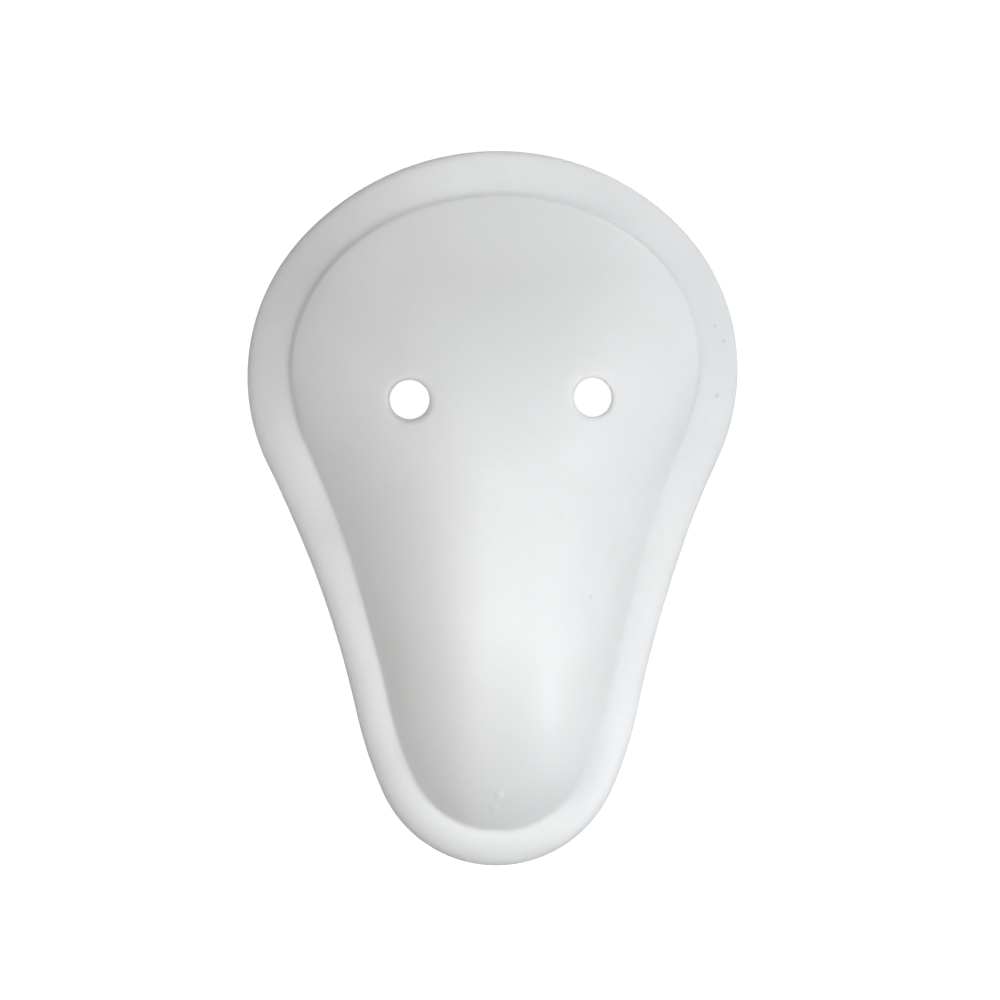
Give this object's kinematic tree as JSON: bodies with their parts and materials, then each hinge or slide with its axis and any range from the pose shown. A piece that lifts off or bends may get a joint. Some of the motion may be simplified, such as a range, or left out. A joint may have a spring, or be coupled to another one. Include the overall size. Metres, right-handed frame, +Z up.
{
  "type": "groin guard",
  "caption": "Moulded plastic groin guard shell: a long domed cup, wide at the belly end and narrow at the toe, with a rolled rim band and round vent holes.",
  "frame": {"origin": "centre of the bounding box's bottom, on the surface that the rim rests on", "axes": "+X to the right seen from the front, +Y along the length to the wide belly edge, +Z up out of the dome"},
  "size_m": [0.1134, 0.165, 0.0465],
  "materials": {
    "shell_plastic": "white satin moulded plastic"
  },
  "bodies": {
    "root": {"guard_shell": "shell_plastic"}
  },
  "joints": []
}
